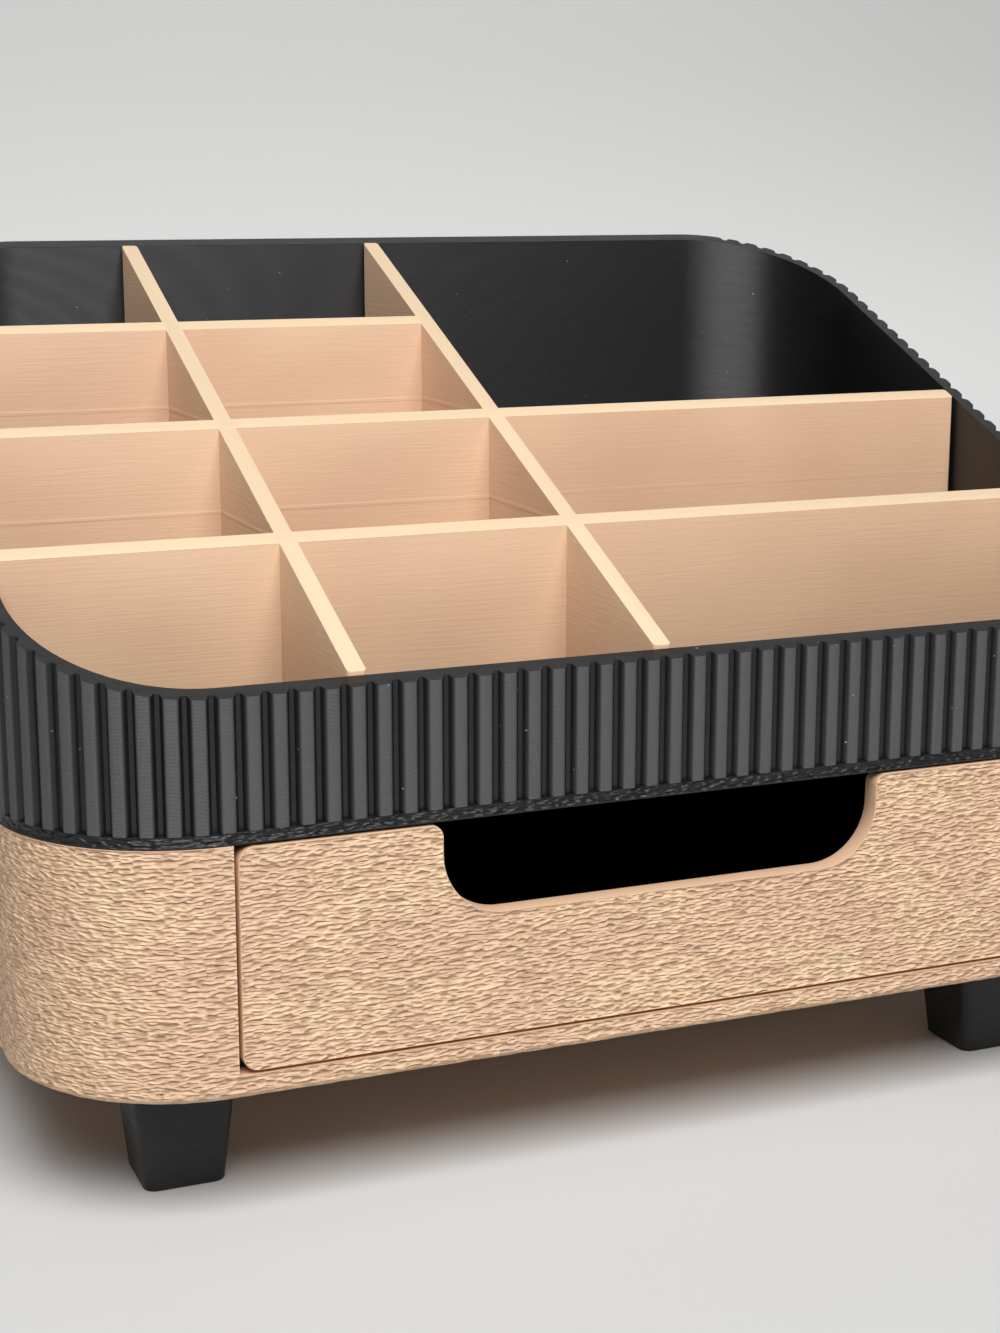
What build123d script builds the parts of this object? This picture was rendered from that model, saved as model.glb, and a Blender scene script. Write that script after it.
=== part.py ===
from build123d import *
import math
import os

os.makedirs("parts", exist_ok=True)

# Driving dimensions, in millimetres. The surface under the feet is z = 0, the front faces -Y.

# Body
body_width = 200.0  # left to right, over the rib crests
body_depth = 142.0  # front to back, over the rib crests
corner_radius = 28.3  # of the body's corners, seen from above
foot_height = 20.0  # from the surface to the underside of the base
base_height = 39.4  # from the underside of the base to the tray
rim_front_height = 81.4  # the tray's sloped rim above the surface, at the front
rim_back_height = 142.0  # and at the back

# Tray
tray_wall = 2.6  # at a rib crest
tray_floor = 2.4
band_height = 2.0  # plain band under the ribs
band_chamfer = 0.3  # shadow line where the tray meets the base
rib_pitch = 4.0
rib_depth = 1.0
groove_mouth = 1.9  # width of a groove between two crests
groove_bottom = 0.7
rib_edge_break = 0.25  # cut off a rib's sharp edges
rib_start = 10.9  # first groove, measured along the corner from the straight back wall
peg_radius = 3.0  # locating pegs under the tray
peg_length = 6.0

# Divider grid
divider_thickness = 3.0
column_pitch = 50.1  # between the two dividers that run front to back
row_pitch = 34.5  # between the cross dividers
row_setback = 1.3  # middle cross divider, behind the middle of the tray
divider_end_gap = 0.5  # between a divider's end and the tray's wall
divider_end_round = 0.6
divider_proud = 0.3  # of the dividers' tops over the rim

# Base
base_floor = 3.8
base_wall = 3.0
guide_wall = 3.0  # between the drawer bay and a side pocket
base_bottom_chamfer = 1.2
bay_width = 140.7
post_radius = 5.0  # corner posts that hold the feet and the tray's pegs

# Drawer
drawer_side_gap = 0.6
drawer_back_gap = 1.5
tub_top_gap = 1.0
tub_wall = 2.0
tub_floor = 2.0
tub_corner_radius = 3.0
front_thickness = 3.4
front_bottom_gap = 0.5
front_top_gap = 0.4
front_corner_radius = 2.5
pull_width = 75.5  # finger cut-out in the drawer's front
pull_depth = 15.2  # below the tray
pull_bottom_radius = 10.0
pull_top_radius = 2.0
tub_pull_margin = 1.5  # by which the tub's cut-out is larger, so that its edge stays out of sight

# Feet
foot_top_width = 17.0
foot_bottom_width = 13.0
foot_edge_radius = 2.0
foot_inset_x = 25.1  # a foot's middle, from the body's side
foot_inset_y = 22.5  # and from the body's front or back
spigot_radius = 3.0
spigot_length = 8.0
socket_clearance = 0.15  # round a spigot or a peg
socket_end_gap = 0.5

# Levels and spans that follow from these
base_bottom = foot_height
seam = base_bottom + base_height
bay_floor = base_bottom + base_floor
tray_floor_top = seam + tray_floor
half_width = body_width / 2
half_depth = body_depth / 2
inner_half_width = half_width - tray_wall
inner_half_depth = half_depth - tray_wall
bay_half_width = bay_width / 2
bay_back = half_depth - base_wall
foot_x = half_width - foot_inset_x
foot_y = half_depth - foot_inset_y
corners = [(-foot_x, -foot_y), (foot_x, -foot_y), (-foot_x, foot_y), (foot_x, foot_y)]


def block(x_span, y_span, z_span):
    """A box between two limits on each axis."""
    spans = (x_span, y_span, z_span)
    size = [high - low for low, high in spans]
    middle = [(low + high) / 2 for low, high in spans]
    return Pos(*middle) * Box(*size)


def prism(sketch, bottom, top):
    """A sketch on the XY plane, raised between two levels."""
    return extrude(Pos(0, 0, bottom) * sketch, top - bottom)


def rim_level(y):
    """Height of the tray's sloped rim at a place between front and back."""
    return rim_front_height + (rim_back_height - rim_front_height) * (y + half_depth) / body_depth


def above_rim(rise):
    """Everything over the sloped plane of the rim, raised by a little."""
    front, back = -body_depth, body_depth
    ceiling = rim_level(back) + body_depth
    side = Polyline(
        (front, rim_level(front) + rise),
        (back, rim_level(back) + rise),
        (back, ceiling),
        (front, ceiling),
        close=True,
    )
    return extrude(Plane.YZ * make_face(side), body_width, both=True)


def body_outline(inset=0.0):
    """Plan of the body, or of a wall's inner face inside it."""
    return RectangleRounded(body_width - 2 * inset, body_depth - 2 * inset, corner_radius - inset)


def rib_groove():
    """One groove between two ribs, in plan, with broken edges; y = 0 is the line of the crests."""
    mouth = groove_mouth / 2
    bottom = groove_bottom / 2
    steepness = math.atan2(rib_depth, mouth - bottom)
    crest_edge = mouth + rib_edge_break
    flank_edge = mouth - rib_edge_break * math.cos(steepness)
    right = [
        (crest_edge, rib_depth),
        (crest_edge, 0),
        (flank_edge, -rib_edge_break * math.sin(steepness)),
        (bottom, -rib_depth),
    ]
    left = [(-x, y) for x, y in reversed(right)]
    return make_face(Polyline(*right, *left, close=True))


def rib_grooves():
    """All the grooves, in plan, from one back corner round the front to the other.

    The back wall is plain: the row stops where its straight stretch begins.
    """
    back_straight = half_width - corner_radius
    run = FilletPolyline(
        (back_straight / 2, half_depth),
        (half_width, half_depth),
        (half_width, -half_depth),
        (-half_width, -half_depth),
        (-half_width, half_depth),
        (-back_straight / 2, half_depth),
        radius=corner_radius,
    )
    groove = rib_groove()
    first = back_straight / 2 + rib_start
    count = math.floor((run.length - 2 * first) / rib_pitch) + 1
    grooves = []
    for number in range(count):
        along = (first + number * rib_pitch) / run.length
        place = Plane(run.position_at(along), x_dir=run.tangent_at(along), z_dir=(0, 0, 1))
        grooves.append(place * groove)
    return grooves


def make_tray():
    """Black top tray: ribbed outside, smooth inside, with a rim that slopes down to the front."""
    band = prism(body_outline(), seam, seam + band_height)
    band = chamfer(band.faces().sort_by(Axis.Z)[0].edges(), band_chamfer)
    ribs = prism(body_outline() - rib_grooves(), seam + band_height, rim_back_height)
    cavity = prism(body_outline(tray_wall), tray_floor_top, rim_back_height)
    tray = band + ribs - cavity - above_rim(0)
    for x, y in corners:
        tray += Pos(x, y, seam - peg_length / 2) * Cylinder(peg_radius, peg_length)
    return tray


def make_divider_grid():
    """One-piece grid of walls that drops into the tray; the rear right compartment is double."""
    end_x = inner_half_width - divider_end_gap
    end_y = inner_half_depth - divider_end_gap
    half = divider_thickness / 2
    rows = [row_setback + step * row_pitch for step in (-1, 0, 1)]
    plan = Sketch()
    for x in (-column_pitch, 0):
        plan += Pos(x, 0) * Rectangle(divider_thickness, 2 * end_y)
    for y in rows[:2]:
        plan += Pos(0, y) * Rectangle(2 * end_x, divider_thickness)
    plan += Pos((half - end_x) / 2, rows[2]) * Rectangle(end_x + half, divider_thickness)
    free_ends = [v for v in plan.vertices() if abs(v.X) > end_x - half or abs(v.Y) > end_y - half]
    plan = fillet(free_ends, divider_end_round)
    return prism(plan, tray_floor_top, rim_back_height + divider_proud) - above_rim(divider_proud)


def make_base():
    """Tan housing: floor, outer wall, and a drawer bay between two side pockets."""
    base = prism(body_outline(), base_bottom, seam)
    base = chamfer(base.faces().sort_by(Axis.Z)[0].edges(), base_bottom_chamfer)
    bay = block((-bay_half_width, bay_half_width), (-body_depth, bay_back), (bay_floor, seam + body_depth))
    pockets = prism(body_outline(base_wall), bay_floor, seam)
    guides = bay_half_width + guide_wall
    pockets -= block((-guides, guides), (-body_depth, body_depth), (0, seam + body_depth))
    for x, y in corners:
        pockets -= Pos(x, y, (bay_floor + seam) / 2) * Cylinder(post_radius, seam - bay_floor)
    base = base - bay - pockets
    foot_socket = spigot_length + socket_end_gap
    peg_socket = peg_length + socket_end_gap
    for x, y in corners:
        spigot_hole = Cylinder(spigot_radius + socket_clearance, foot_socket)
        peg_hole = Cylinder(peg_radius + socket_clearance, peg_socket)
        base -= Pos(x, y, base_bottom + foot_socket / 2) * spigot_hole
        base -= Pos(x, y, seam - peg_socket / 2) * peg_hole
    return base


def pull_cut(margin=0.0):
    """Outline of the finger cut-out, seen from the front, open at the top, or a larger one round it."""
    half = pull_width / 2 + margin
    low = seam - pull_depth - margin
    high = seam - front_top_gap
    shoulder = half + pull_top_radius
    bottom_radius = pull_bottom_radius + margin
    line = FilletPolyline(
        (-half, high + bottom_radius),
        (-half, low),
        (half, low),
        (half, high + bottom_radius),
        radius=bottom_radius,
    )
    slot = make_face([line, Line(line @ 1, line @ 0)])
    lip = Pos(0, high) * Rectangle(2 * shoulder, 2 * pull_top_radius)
    for side in (-1, 1):
        lip -= Pos(side * shoulder, high - pull_top_radius) * Circle(pull_top_radius)
    return slot + lip


def make_drawer_front():
    """Tan front plate with rounded corners and the finger cut-out."""
    low = bay_floor + front_bottom_gap
    high = seam - front_top_gap
    width = bay_width - 2 * drawer_side_gap
    plate = Pos(0, (low + high) / 2) * RectangleRounded(width, high - low, front_corner_radius)
    front = Plane.XZ.offset(half_depth)
    return extrude(front * (plate - pull_cut()), -front_thickness)


def make_drawer_tub():
    """Black drawer that runs on the bay's floor, behind its front plate."""
    front = -half_depth + front_thickness
    back = bay_back - drawer_back_gap
    width = bay_width - 2 * drawer_side_gap
    top = seam - tub_top_gap
    middle = Pos(0, (front + back) / 2)
    outside = middle * Rectangle(width, back - front)
    rear_corners = outside.vertices().sort_by(Axis.Y)[-2:]
    outside = fillet(rear_corners, tub_corner_radius)
    inside = middle * RectangleRounded(width - 2 * tub_wall, back - front - 2 * tub_wall, tub_corner_radius)
    tub = prism(outside, bay_floor, top) - prism(inside, bay_floor + tub_floor, top)
    return tub - extrude(Plane.XZ.offset(-front) * pull_cut(tub_pull_margin), -tub_wall)


def make_foot(x, y):
    """Black tapered foot with rounded edges and a spigot that sits in the base."""
    low = (foot_top_width - foot_bottom_width) / 2
    high = foot_top_width - low
    foot = Wedge(foot_top_width, foot_height, foot_top_width, low, low, high, high)
    foot = Pos(0, 0, foot_height / 2) * Rot(X=-90) * foot
    foot = fillet([e for e in foot.edges() if abs(e.tangent_at(0.5).Z) > 0.5], foot_edge_radius)
    foot += Pos(0, 0, foot_height + spigot_length / 2) * Cylinder(spigot_radius, spigot_length)
    return Pos(x, y, 0) * foot


nodes = {
    "base_housing": make_base(),
    "tray": make_tray(),
    "divider_grid": make_divider_grid(),
    "drawer_tub": make_drawer_tub(),
    "drawer_front": make_drawer_front(),
}
places = ("front_left", "front_right", "rear_left", "rear_right")
for place, (x, y) in zip(places, corners):
    nodes["foot_" + place] = make_foot(x, y)
for name, solid in nodes.items():
    export_step(solid, f"parts/{name}.step")
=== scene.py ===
import math

import bmesh
import bpy
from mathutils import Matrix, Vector, kdtree, noise


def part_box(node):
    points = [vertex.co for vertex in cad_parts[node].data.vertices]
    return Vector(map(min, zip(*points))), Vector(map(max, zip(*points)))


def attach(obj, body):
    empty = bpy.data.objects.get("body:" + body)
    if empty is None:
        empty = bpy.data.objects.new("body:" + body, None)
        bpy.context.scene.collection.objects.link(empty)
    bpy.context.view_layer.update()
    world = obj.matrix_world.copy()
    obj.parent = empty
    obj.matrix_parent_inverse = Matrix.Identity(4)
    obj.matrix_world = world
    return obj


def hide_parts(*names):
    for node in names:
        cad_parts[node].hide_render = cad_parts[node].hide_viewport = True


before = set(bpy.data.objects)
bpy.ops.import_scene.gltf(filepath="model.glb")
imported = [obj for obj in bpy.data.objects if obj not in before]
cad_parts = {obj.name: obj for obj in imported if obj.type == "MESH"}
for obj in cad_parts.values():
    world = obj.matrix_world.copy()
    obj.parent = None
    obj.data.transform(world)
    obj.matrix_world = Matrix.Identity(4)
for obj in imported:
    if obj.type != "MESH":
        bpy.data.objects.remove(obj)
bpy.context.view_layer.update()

MM = 0.001

# Places that follow from the frame, in metres
_, TRAY_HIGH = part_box("tray")
_, BASE_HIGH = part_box("base_housing")
SEAM = BASE_HIGH.z
HALF_WIDTH = BASE_HIGH.x
HALF_DEPTH = BASE_HIGH.y
BODY_CORNER = 28.3 * MM
FLAT = Vector((HALF_WIDTH - BODY_CORNER, HALF_DEPTH - BODY_CORNER, 0))
BASE_CHAMFER = 1.2 * MM
BAND_TOP = SEAM + 2.0 * MM
RIB_DEPTH = 1.0 * MM
RIB_EDGE = 0.05 * MM
RIM_FRONT = 81.4 * MM
RIM_BACK = TRAY_HIGH.z
CROSS_DIVIDERS = (-33.2 * MM, 1.3 * MM)

# The printed surface
LAYER = 0.2 * MM
LAYER_RELIEF = 0.018 * MM
SKIN_DEPTH = 0.24 * MM
SKIN_EDGE = 0.2 * MM
WRINKLE_LENGTH = 1.6 * MM
WRINKLE_HEIGHT = 0.48 * MM
WRINKLE_LEAN = 0.6
WRINKLE_SWAY = 0.5 * MM
SWAY_LENGTH = 4.0 * MM

# Colours, linear
TAN = (0.67, 0.435, 0.27)
# Paler tan: a painted highlight on the crests of the rough skin, and a tone that differs at random on the
# smooth plastic
TAN_PALE = (0.85, 0.595, 0.38)
# Tan for the painted shade in the hollows of the rough skin
TAN_HOLLOW_SHADE = (0.66, 0.42, 0.26)
TAN_PINK = (0.68, 0.435, 0.29)
# Rosy paler tan, also painted on the crests of the rough skin as a highlight
TAN_ROSE = (0.78, 0.51, 0.345)
# Paler tan painted on the tops as light falling from above
TAN_LIT_TOP = (0.75, 0.57, 0.38)
BLACK = (0.006, 0.006, 0.007)
BLACK_PALE = (0.010, 0.010, 0.011)
# Grey painted on the rib crests as a sheen
BLACK_CREST_SHEEN = (0.074, 0.074, 0.076)
DUST = (0.30, 0.30, 0.30)
FLOOR_WHITE = (0.585, 0.59, 0.59)
BACKDROP_WHITE = (0.80, 0.80, 0.79)


class Wire:
    """A value in a material's nodes. Arithmetic on it adds Math nodes."""

    def __init__(self, nodes, socket):
        self.nodes = nodes
        self.socket = socket

    def math(self, operation, *others):
        sockets = dict(enumerate((self, *others)))
        return self.nodes.add("ShaderNodeMath", {"operation": operation}, sockets)

    def __add__(self, other):
        return self.math("ADD", other)

    def __sub__(self, other):
        return self.math("SUBTRACT", other)

    def __mul__(self, other):
        return self.math("MULTIPLY", other)

    def __rsub__(self, other):
        return self.nodes.add("ShaderNodeMath", {"operation": "SUBTRACT"}, {0: other, 1: self})

    __radd__ = __add__
    __rmul__ = __mul__

    def __abs__(self):
        return self.math("ABSOLUTE")

    def ramp(self, low, high, start=0.0, end=1.0):
        """Goes smoothly from start to end while this goes from low to high."""
        settings = {"interpolation_type": "SMOOTHSTEP", "clamp": True}
        return self.nodes.add(
            "ShaderNodeMapRange",
            settings,
            {"Value": self, "From Min": low, "From Max": high, "To Min": start, "To Max": end},
        )


class Nodes:
    """The node tree of a material, built from its inputs to its shader."""

    def __init__(self, tree):
        self.tree = tree
        self.tree.nodes.clear()

    def add(self, kind, settings=None, sockets=None, out=0):
        node = self.tree.nodes.new(kind)
        for name, value in (settings or {}).items():
            setattr(node, name, value)
        for name, value in (sockets or {}).items():
            if isinstance(value, Wire):
                self.tree.links.new(value.socket, node.inputs[name])
            else:
                node.inputs[name].default_value = value
        return Wire(self, node.outputs[out]) if node.outputs else None

    def place(self):
        return self.add("ShaderNodeTexCoord", out="Object")

    def camera_sees(self):
        """1 where the camera looks straight at a surface, 0 where light only passes on from it."""
        return self.add("ShaderNodeLightPath", out="Is Camera Ray")

    def mesh_value(self, name):
        """A value that the mesh holds for its points, its faces or their corners."""
        return self.add("ShaderNodeAttribute", {"attribute_name": name}, out="Fac")

    def axes(self, vector):
        split = self.add("ShaderNodeSeparateXYZ", None, {0: vector}).socket.node
        return [Wire(self, socket) for socket in split.outputs]

    def stretched(self, vector, sizes):
        """A vector divided by a size on each axis, so that one unit is one grain of a pattern."""
        per_axis = tuple(1 / size for size in sizes)
        return self.add("ShaderNodeVectorMath", {"operation": "MULTIPLY"}, {0: vector, 1: per_axis})

    def noise(self, vector, detail=2.0, roughness=0.5):
        sockets = {"Vector": vector, "Scale": 1.0, "Detail": detail, "Roughness": roughness}
        return self.add("ShaderNodeTexNoise", None, sockets)

    def blend(self, mask, first, second):
        """The first colour where the mask is 0, the second where it is 1."""
        pair = [c if isinstance(c, Wire) else (*c, 1.0) for c in (first, second)]
        sockets = {0: mask, 6: pair[0], 7: pair[1]}
        return self.add("ShaderNodeMix", {"data_type": "RGBA"}, sockets, out=2)

    def relief(self, height, depth, under=None):
        """A bump as deep as a height of 1 is said to be."""
        sockets = {"Height": height, "Distance": depth, "Strength": 1.0}
        if under is not None:
            sockets["Normal"] = under
        return self.add("ShaderNodeBump", None, sockets)

    def surface(self, sockets):
        shader = self.add("ShaderNodeBsdfPrincipled", None, sockets)
        self.add("ShaderNodeOutputMaterial", None, {"Surface": shader})


def new_material(name):
    material = bpy.data.materials.new(name)
    material.use_nodes = True
    return material, Nodes(material.node_tree)


def layer_streaks(nodes, place):
    """Faint uneven printed layers, as a value about 0.5."""
    long = nodes.noise(nodes.stretched(place, (22 * MM, 22 * MM, 0.42 * MM)), detail=2.0, roughness=0.7)
    short = nodes.noise(nodes.stretched(place, (6 * MM, 6 * MM, 0.34 * MM)), detail=1.0)
    return long * 0.6 + short * 0.4


def layer_lines(nodes, place):
    """Height of the printed layers, which run level round every wall."""
    _, _, z = nodes.axes(place)
    return (z * (2 * math.pi / LAYER)).math("SINE")


def wrinkles(nodes, place):
    """Height of fine wrinkles that lean upwards, from 0 to 1."""
    grain = nodes.stretched(place, (1.4 * MM, 1.4 * MM, 0.43 * MM))
    up = nodes.add("ShaderNodeCombineXYZ", None, {2: nodes.noise(grain, detail=0.0) * -1.2})
    leaning = nodes.add("ShaderNodeVectorMath", {"operation": "ADD"}, {0: grain, 1: up})
    return nodes.noise(leaning, detail=0.0)


def tan_textured():
    """Matte tan plastic, rough or smooth as the mesh says. On the rough skin the crests are painted paler as
    a highlight, in a tone that differs at random, and the hollows are painted darker as shade.
    """
    material, nodes = new_material("tan_textured")
    place = nodes.place()
    skin, hollow = nodes.mesh_value("skin"), nodes.mesh_value("hollow")
    streaks = layer_streaks(nodes, place)
    tone = nodes.noise(nodes.stretched(place, (16 * MM, 16 * MM, 10 * MM)), detail=1.0)
    plain = nodes.blend(streaks.ramp(0.35, 0.65), TAN, TAN_PINK)
    # Painted highlight on the skin's crests, in a tone that differs at random
    crest = nodes.blend(tone.ramp(0.35, 0.65), TAN_PALE, TAN_ROSE)
    fine = wrinkles(nodes, place)
    # Painted shade in the skin's hollows, deepest where the wrinkles sink in
    grain = nodes.blend((hollow * 0.6 - fine).ramp(-0.4, 0.15), crest, TAN_HOLLOW_SHADE)
    nodes.surface({
        "Base Color": nodes.blend(skin, plain, grain),
        "Roughness": streaks.ramp(0.3, 0.7, 0.66, 0.54),
        "Specular IOR Level": 0.4,
        "Normal": nodes.relief(skin * fine, 1.0 * MM, nodes.relief(streaks.ramp(0.3, 0.7), 0.02 * MM)),
    })
    return material


def tan_smooth():
    """Matte tan plastic with fine layers, tops painted paler as light falling from above, and a line where a
    cross divider tops out.
    """
    material, nodes = new_material("tan_smooth")
    place = nodes.place()
    x, _, z = nodes.axes(place)
    streaks = layer_streaks(nodes, place)
    tone = nodes.noise(nodes.stretched(place, (40 * MM, 40 * MM, 25 * MM)), detail=1.0)
    colour = nodes.blend(streaks.ramp(0.3, 0.7, 0.2, 0.7), TAN_PINK, TAN)
    colour = nodes.blend(tone.ramp(0.35, 0.65, 0.0, 0.3), colour, TAN_PALE)
    # Painted light: faces that look up are paler
    colour = nodes.blend(nodes.mesh_value("upright").ramp(0.1, 0.4, 1.0, 0.0), colour, TAN_LIT_TOP)
    height = streaks.ramp(0.3, 0.7, 0.2, 0.7)
    for y in CROSS_DIVIDERS:
        level = RIM_FRONT + (RIM_BACK - RIM_FRONT) * (y + HALF_DEPTH) / (2 * HALF_DEPTH)
        ledge = abs(z - level).ramp(0.15 * MM, 0.5 * MM, 1.0, 0.0)
        height = height + ledge * x.ramp(0.0, 20 * MM, 1.2, 0.4)
    nodes.surface({
        "Base Color": colour,
        "Roughness": streaks.ramp(0.3, 0.7, 0.62, 0.5),
        "Specular IOR Level": 0.4,
        "Normal": nodes.relief(height, 0.032 * MM),
    })
    return material


def black_ribbed():
    """Black plastic, dull on the ribs and painted pale there as a sheen, with steps on the rim and a little
    dust.
    """
    material, nodes = new_material("black_ribbed")
    place = nodes.place()
    skin, crest, groove, upright = (
        nodes.mesh_value(name) for name in ("skin", "crest", "groove", "upright")
    )
    streaks = layer_streaks(nodes, place)
    specks = nodes.noise(nodes.stretched(place, (0.9 * MM, 0.9 * MM, 0.5 * MM)), detail=0.0)
    colour = nodes.blend(streaks.ramp(0.3, 0.7), BLACK, BLACK_PALE)
    # Painted sheen: the rib crests are pale grey
    colour = nodes.blend(crest, colour, BLACK_CREST_SHEEN)
    colour = nodes.blend(specks.ramp(0.86, 0.9), colour, DUST)
    _, _, z = nodes.axes(place)
    steps = (z * (1 / LAYER) + 0.5).math("FRACT") * (upright - 1)
    layers = layer_lines(nodes, place) * upright * (1 - groove * 0.85) + streaks
    lines = nodes.relief(layers, LAYER_RELIEF, nodes.relief(steps, 0.9 * LAYER))
    nodes.surface({
        "Base Color": colour,
        "Roughness": streaks.ramp(0.3, 0.7, 0.36, 0.31) + crest * 0.30,
        "Specular IOR Level": 0.5,
        "Normal": nodes.relief(skin * wrinkles(nodes, place), 0.6 * MM, lines),
    })
    return material


def black_plain(name, rough):
    """Black plastic with fine layers."""
    material, nodes = new_material(name)
    place = nodes.place()
    streaks = layer_streaks(nodes, place)
    nodes.surface({
        "Base Color": nodes.blend(streaks.ramp(0.3, 0.7), BLACK, BLACK_PALE),
        "Roughness": streaks.ramp(0.3, 0.7, rough + 0.05, rough - 0.05),
        "Specular IOR Level": 0.5,
        "Normal": nodes.relief(layer_lines(nodes, place) + streaks, 0.012 * MM),
    })
    return material


# Angles, distances and the side that the mesh work below goes by
SHARP = math.radians(28)
RIB_SHARP = math.radians(45)
WELD = 0.002 * MM
NEAR = 0.15 * MM
ALIGNED = 0.99
BACK = (0, 1)


def off_core(place):
    """From the core of the body's plan to a place. On the outer wall its length is the corner's radius."""
    inner = [min(max(place[axis], -FLAT[axis]), FLAT[axis]) for axis in (0, 1)]
    return Vector((place.x - inner[0], place.y - inner[1], 0))


def depth_in(place):
    """How far a place lies behind the outer wall."""
    return BODY_CORNER - off_core(place).length


def wall_faces(bm, top, chamfer):
    """The faces of the body's outer wall below a level, and of a chamfer under it."""
    found = []
    for face in bm.faces:
        middle = face.calc_center_median()
        out = off_core(middle)
        depth = depth_in(middle)
        level = face.normal.xy.to_3d()
        faces_out = level.dot(out) > ALIGNED * level.length * out.length
        wall = level.length > ALIGNED and depth < max(chamfer, NEAR)
        sloped = -0.9 < face.normal.z < -0.5 and depth < chamfer
        if middle.z < top and faces_out and (wall or sloped):
            found.append(face)
    return found


def on_chamfer(edge, low, chamfer):
    """Whether an edge runs along a chamfer round the bottom of the outer wall."""
    for vert in edge.verts:
        if vert.co.z > low + chamfer + WELD or depth_in(vert.co) > chamfer + NEAR:
            return False
    return chamfer > 0


def cut_in_turn(bm, faces, planes):
    """Cuts faces along planes that follow each other, and returns all the faces that come out."""
    done = []
    for point, normal in planes:
        parts = {part for face in faces for part in (face, *face.edges, *face.verts)}
        cut = bmesh.ops.bisect_plane(bm, geom=list(parts), dist=1e-7, plane_co=point, plane_no=normal)
        faces = []
        for part in cut["geom"]:
            if isinstance(part, bmesh.types.BMFace):
                ahead = (part.calc_center_median() - point).dot(normal) > 0
                (faces if ahead else done).append(part)
    return done + faces


def column_planes(side, facets, step):
    """Upright planes that divide one side of the wall, or one of its round corners, into columns."""
    side_x, side_y = side
    if side_x and side_y:
        hub = Vector((side_x * FLAT.x, side_y * FLAT.y, 0))
        count = facets * max(1, round(BODY_CORNER * math.pi / 2 / facets / step))
        turns = [math.pi / 2 * k / count for k in range(1, count)]
        return [(hub, Vector((-side_x * math.sin(turn), side_y * math.cos(turn), 0))) for turn in turns]
    along = Vector((abs(side_y), abs(side_x), 0))
    reach = along.dot(FLAT)
    count = round(2 * reach / step)
    return [(along * reach * (2 * k / count - 1), along) for k in range(1, count)]


def layered(bm, faces, step):
    """Divides faces of the outer wall into printed layers, with points at every step along them."""
    sides = {}
    for face in faces:
        out = off_core(face.calc_center_median())
        side = tuple((c > WELD) - (c < -WELD) for c in out.xy)
        sides.setdefault(side, []).append(face)
    faces = []
    for side, group in sides.items():
        width = 2 * step if side == BACK else step
        faces += cut_in_turn(bm, group, column_planes(side, len(group), width))
    levels = [vert.co.z for face in faces for vert in face.verts]
    low, up = min(levels), Vector((0, 0, 1))
    count = math.ceil((max(levels) - low) / LAYER)
    return cut_in_turn(bm, faces, [(up * (low + k * LAYER), up) for k in range(1, count)])


def wrinkle(place):
    """How deep the rough skin lies at a place, from 0 to 1: short flat wrinkles that sway up and down."""
    sway = noise.noise(place / SWAY_LENGTH) * WRINKLE_SWAY
    grain = Vector((place.x / WRINKLE_LENGTH, place.y / WRINKLE_LENGTH, (place.z + sway) / WRINKLE_HEIGHT))
    grain.z -= noise.noise(grain) * WRINKLE_LEAN
    return min(max(0.5 - noise.noise(grain), 0.0), 1.0)


def roughen(bm, faces, chamfer):
    """Sets the rough skin into faces of the outer wall, and rounds the chamfer that may end them.

    The skin fades out along the other edges of these faces.
    """
    skin = bm.loops.layers.float.new("skin")
    hollow = bm.verts.layers.float.new("hollow")
    verts = list({vert for face in faces for vert in face.verts})
    inside = set(faces)
    low = min(vert.co.z for vert in verts)
    bottom = low + WELD if chamfer else low - WELD
    border = [vert for vert in verts if vert.co.z > bottom and not inside.issuperset(vert.link_faces)]
    tree = kdtree.KDTree(len(border))
    for index, vert in enumerate(border):
        tree.insert(vert.co, index)
    tree.balance()
    for vert in verts:
        gap = min(tree.find(vert.co)[2] / SKIN_EDGE, 1.0)
        vert[hollow] = wrinkle(vert.co) * gap * gap * (3 - 2 * gap)
    for vert in verts:
        out = off_core(vert.co)
        under = max(low + chamfer - vert.co.z, 0.0)
        reach = BODY_CORNER - (under * under / chamfer if under else 0.0)
        vert.co += out.normalized() * (reach - out.length - vert[hollow] * SKIN_DEPTH)
    for face in faces:
        for loop in face.loops:
            loop[skin] = 1.0
        for edge in face.edges:
            edge.smooth = inside.issuperset(edge.link_faces)


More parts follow.
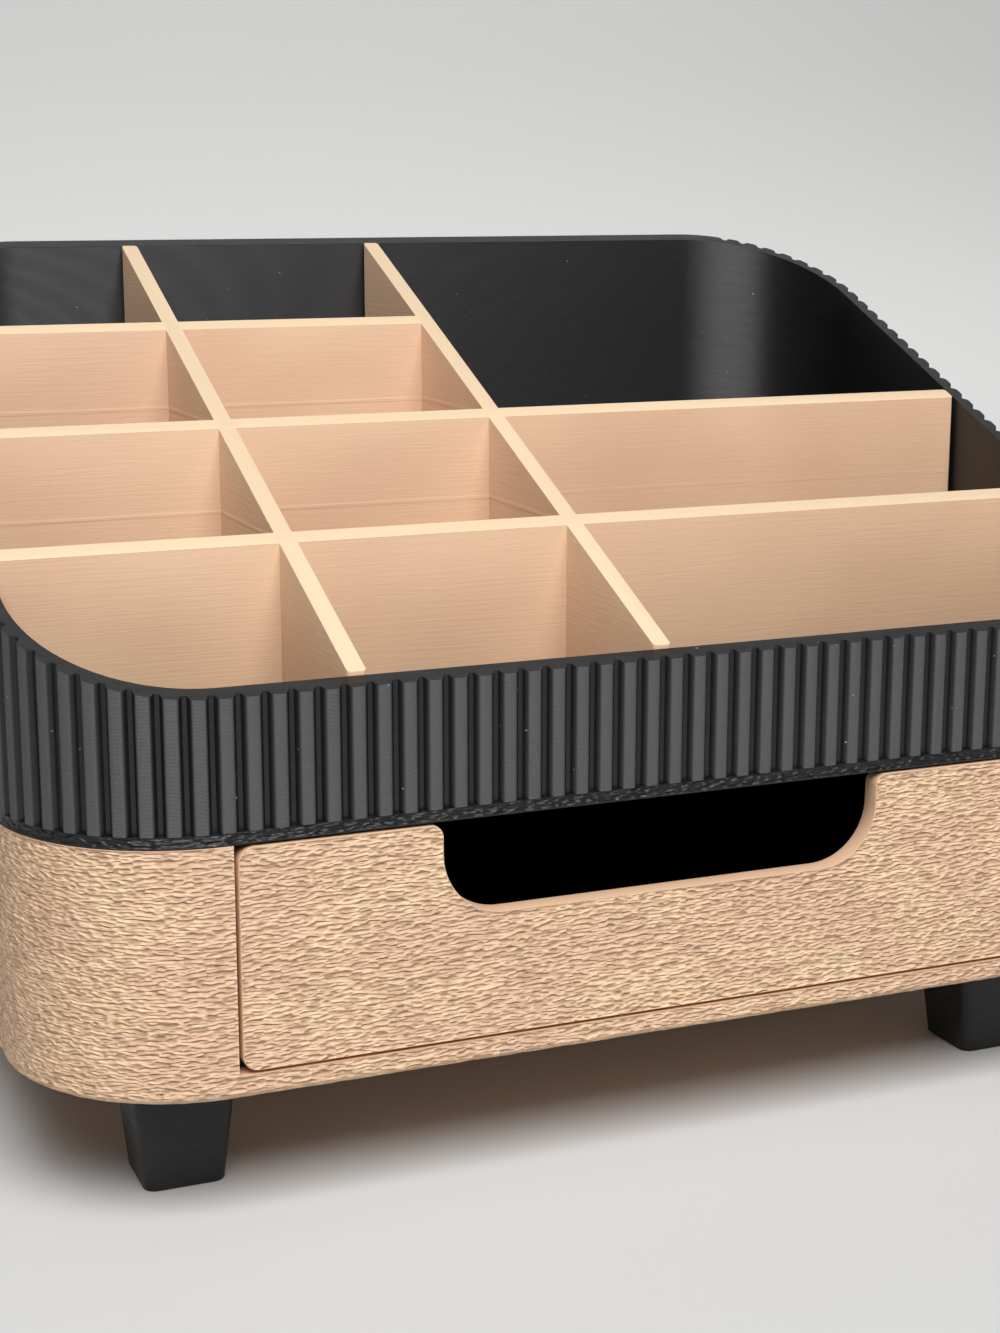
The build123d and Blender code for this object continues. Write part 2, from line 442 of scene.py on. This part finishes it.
def finished(
    node,
    body,
    slot,
    material,
    edge_round=0.0,
    rough_below=None,
    step=1.0 * MM,
    chamfer=0.0,
    sharp=SHARP,
):
    """A welded copy of a CAD node that stands for it.

    It has smooth curves, softened edges and, below a level, any rough skin.
    """
    bm = bmesh.new()
    bm.from_mesh(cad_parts[node].data)
    bmesh.ops.remove_doubles(bm, verts=bm.verts, dist=WELD)
    bmesh.ops.dissolve_limit(bm, angle_limit=math.radians(0.2), verts=bm.verts, edges=bm.edges)
    low = min(vert.co.z for vert in bm.verts)
    if edge_round:
        edges = [e for e in bm.edges if e.is_manifold and e.calc_face_angle() > sharp]
        edges = [e for e in edges if not on_chamfer(e, low, chamfer)]
        bmesh.ops.bevel(
            bm,
            geom=edges,
            offset=edge_round,
            offset_type="OFFSET",
            affect="EDGES",
            segments=2,
            profile=0.5,
            material=-1,
            clamp_overlap=True,
        )
    bm.normal_update()
    crest = bm.loops.layers.float.new("crest")
    upright, groove = (bm.faces.layers.float.new(name) for name in ("upright", "groove"))
    for face in bm.faces:
        face[upright] = 1 - abs(face.normal.z)
    skin = []
    if rough_below:
        cut_in_turn(bm, bm.faces, [(Vector((0, 0, rough_below)), Vector((0, 0, 1)))])
        skin = layered(bm, wall_faces(bm, rough_below, chamfer), step)
        for face in bm.faces:
            middle = face.calc_center_median()
            if face[upright] > 0.9 and middle.z > rough_below:
                face[groove] = RIB_EDGE < depth_in(middle) < RIB_DEPTH + RIB_EDGE
                # Marks the rib crests, which black_ribbed paints with a sheen and makes duller
                for loop in face.loops:
                    loop[crest] = depth_in(loop.vert.co) < RIB_EDGE
    for face in bm.faces:
        face.smooth = True
    for edge in bm.edges:
        edge.smooth = edge.is_manifold and edge.calc_face_angle() < sharp
    if skin:
        roughen(bm, skin, chamfer)
    mesh = bpy.data.meshes.new(node + "_finished")
    bm.to_mesh(mesh)
    bm.free()
    mesh.materials.append(material)
    piece = bpy.data.objects.new(node + "_finished", mesh)
    bpy.context.scene.collection.objects.link(piece)
    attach(piece, body)
    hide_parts(node)


tan_rough = tan_textured()
tan_edges = {"edge_round": 0.15 * MM, "rough_below": SEAM}
finished("base_housing", "housing", "tan_textured", tan_rough, chamfer=BASE_CHAMFER, **tan_edges)
finished("drawer_front", "drawer", "tan_textured", tan_rough, step=0.8 * MM, **tan_edges)
finished("divider_grid", "divider_insert", "tan_smooth", tan_smooth(), edge_round=0.2 * MM)
finished("tray", "housing", "black_ribbed", black_ribbed(), rough_below=BAND_TOP, sharp=RIB_SHARP)
finished("drawer_tub", "drawer", "black_plain", black_plain("black_drawer", 0.55))
foot_material = black_plain("black_foot", 0.45)
for node in [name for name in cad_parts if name.startswith("foot_")]:
    finished(node, "housing", "black_satin", foot_material, edge_round=0.5 * MM)


def add_stage():
    """A pale floor that sweeps up into a backdrop."""
    bm = bmesh.new()
    front, turn, radius, top, side = -1.6, 0.9, 0.5, 1.6, 2.2
    back = turn + radius
    profile = ((front, 0), (turn, 0), (back, radius), (back, top))
    verts = [bm.verts.new((-side, y, z)) for y, z in profile]
    for pair in zip(verts, verts[1:]):
        bm.edges.new(pair)
    bmesh.ops.bevel(
        bm,
        geom=[verts[1], verts[2]],
        offset=radius * 0.55,
        offset_type="OFFSET",
        affect="VERTICES",
        segments=10,
        profile=0.5,
        material=-1,
    )
    grown = bmesh.ops.extrude_edge_only(bm, edges=bm.edges[:])["geom"]
    moved = [part for part in grown if isinstance(part, bmesh.types.BMVert)]
    bmesh.ops.translate(bm, vec=(2 * side, 0, 0), verts=moved)
    bmesh.ops.recalc_face_normals(bm, faces=bm.faces)
    for face in bm.faces:
        face.smooth = True
    mesh = bpy.data.meshes.new("sweep")
    bm.to_mesh(mesh)
    bm.free()
    material, nodes = new_material("pale_sweep")
    x, y, z = nodes.axes(nodes.place())
    far = y.ramp(0.2, 0.8)
    dim = far * z.ramp(0.0, 0.25, 0.15, 0.0) + y.ramp(-1.5, -0.5, 0.4, 0.0) + abs(x).ramp(0.8, 2.0, 0.0, 0.3)
    glow = dim * nodes.camera_sees()
    nodes.surface({
        "Base Color": nodes.blend(far, FLOOR_WHITE, BACKDROP_WHITE),
        "Roughness": 0.7,
        "Specular IOR Level": 0.25,
        "Emission Color": nodes.blend(glow, (0.0, 0.0, 0.0), (1.0, 1.0, 0.99)),
        "Emission Strength": 1.0,
    })
    mesh.materials.append(material)
    sweep = bpy.data.objects.new("sweep", mesh)
    bpy.context.scene.collection.objects.link(sweep)


def add_lamp(name, place, target, size, watts):
    """A soft white rectangular lamp that faces a point."""
    lamp = bpy.data.lights.new(name, "AREA")
    lamp.shape = "RECTANGLE"
    lamp.size, lamp.size_y = size
    lamp.energy = watts
    thing = bpy.data.objects.new(name, lamp)
    thing.location = place
    thing.rotation_euler = (Vector(target) - Vector(place)).to_track_quat("-Z", "Y").to_euler()
    bpy.context.scene.collection.objects.link(thing)


def add_light():
    """Soft light from above and in front, and a dim room all round."""
    middle = (0, 0, 80 * MM)
    add_lamp("key", (-0.14, -0.6, 0.92), middle, (0.85, 0.75), 16.5)
    add_lamp("backdrop", (0.6, 0.3, 0.9), (0.65, 1.4, 0.5), (1.6, 0.4), 5.5)
    world = bpy.data.worlds.new("room")
    world.use_nodes = True
    nodes = Nodes(world.node_tree)
    strength = nodes.camera_sees() * 0.5 + 0.06
    shade = nodes.add("ShaderNodeBackground", None, {"Color": (1.0, 1.0, 1.0, 1.0), "Strength": strength})
    nodes.add("ShaderNodeOutputWorld", None, {"Surface": shade})
    bpy.context.scene.world = world


def add_camera():
    """The camera that took the photograph, as its edges place it."""
    image_height = 1333
    focal_pixels = 2234.6
    yaw, drop = math.radians(22.46), math.radians(12.32)
    camera = bpy.data.cameras.new("camera")
    camera.sensor_width = 36.0
    camera.lens = camera.sensor_width * focal_pixels / image_height
    camera.clip_start = 0.01
    thing = bpy.data.objects.new("camera", camera)
    thing.location = (-153.4 * MM, -372.8 * MM, 153.9 * MM)
    thing.rotation_euler = (math.pi / 2 - drop, 0, -yaw)
    bpy.context.scene.collection.objects.link(thing)
    bpy.context.scene.camera = thing


add_stage()
add_light()
add_camera()
bpy.context.scene.view_settings.view_transform = "Standard"
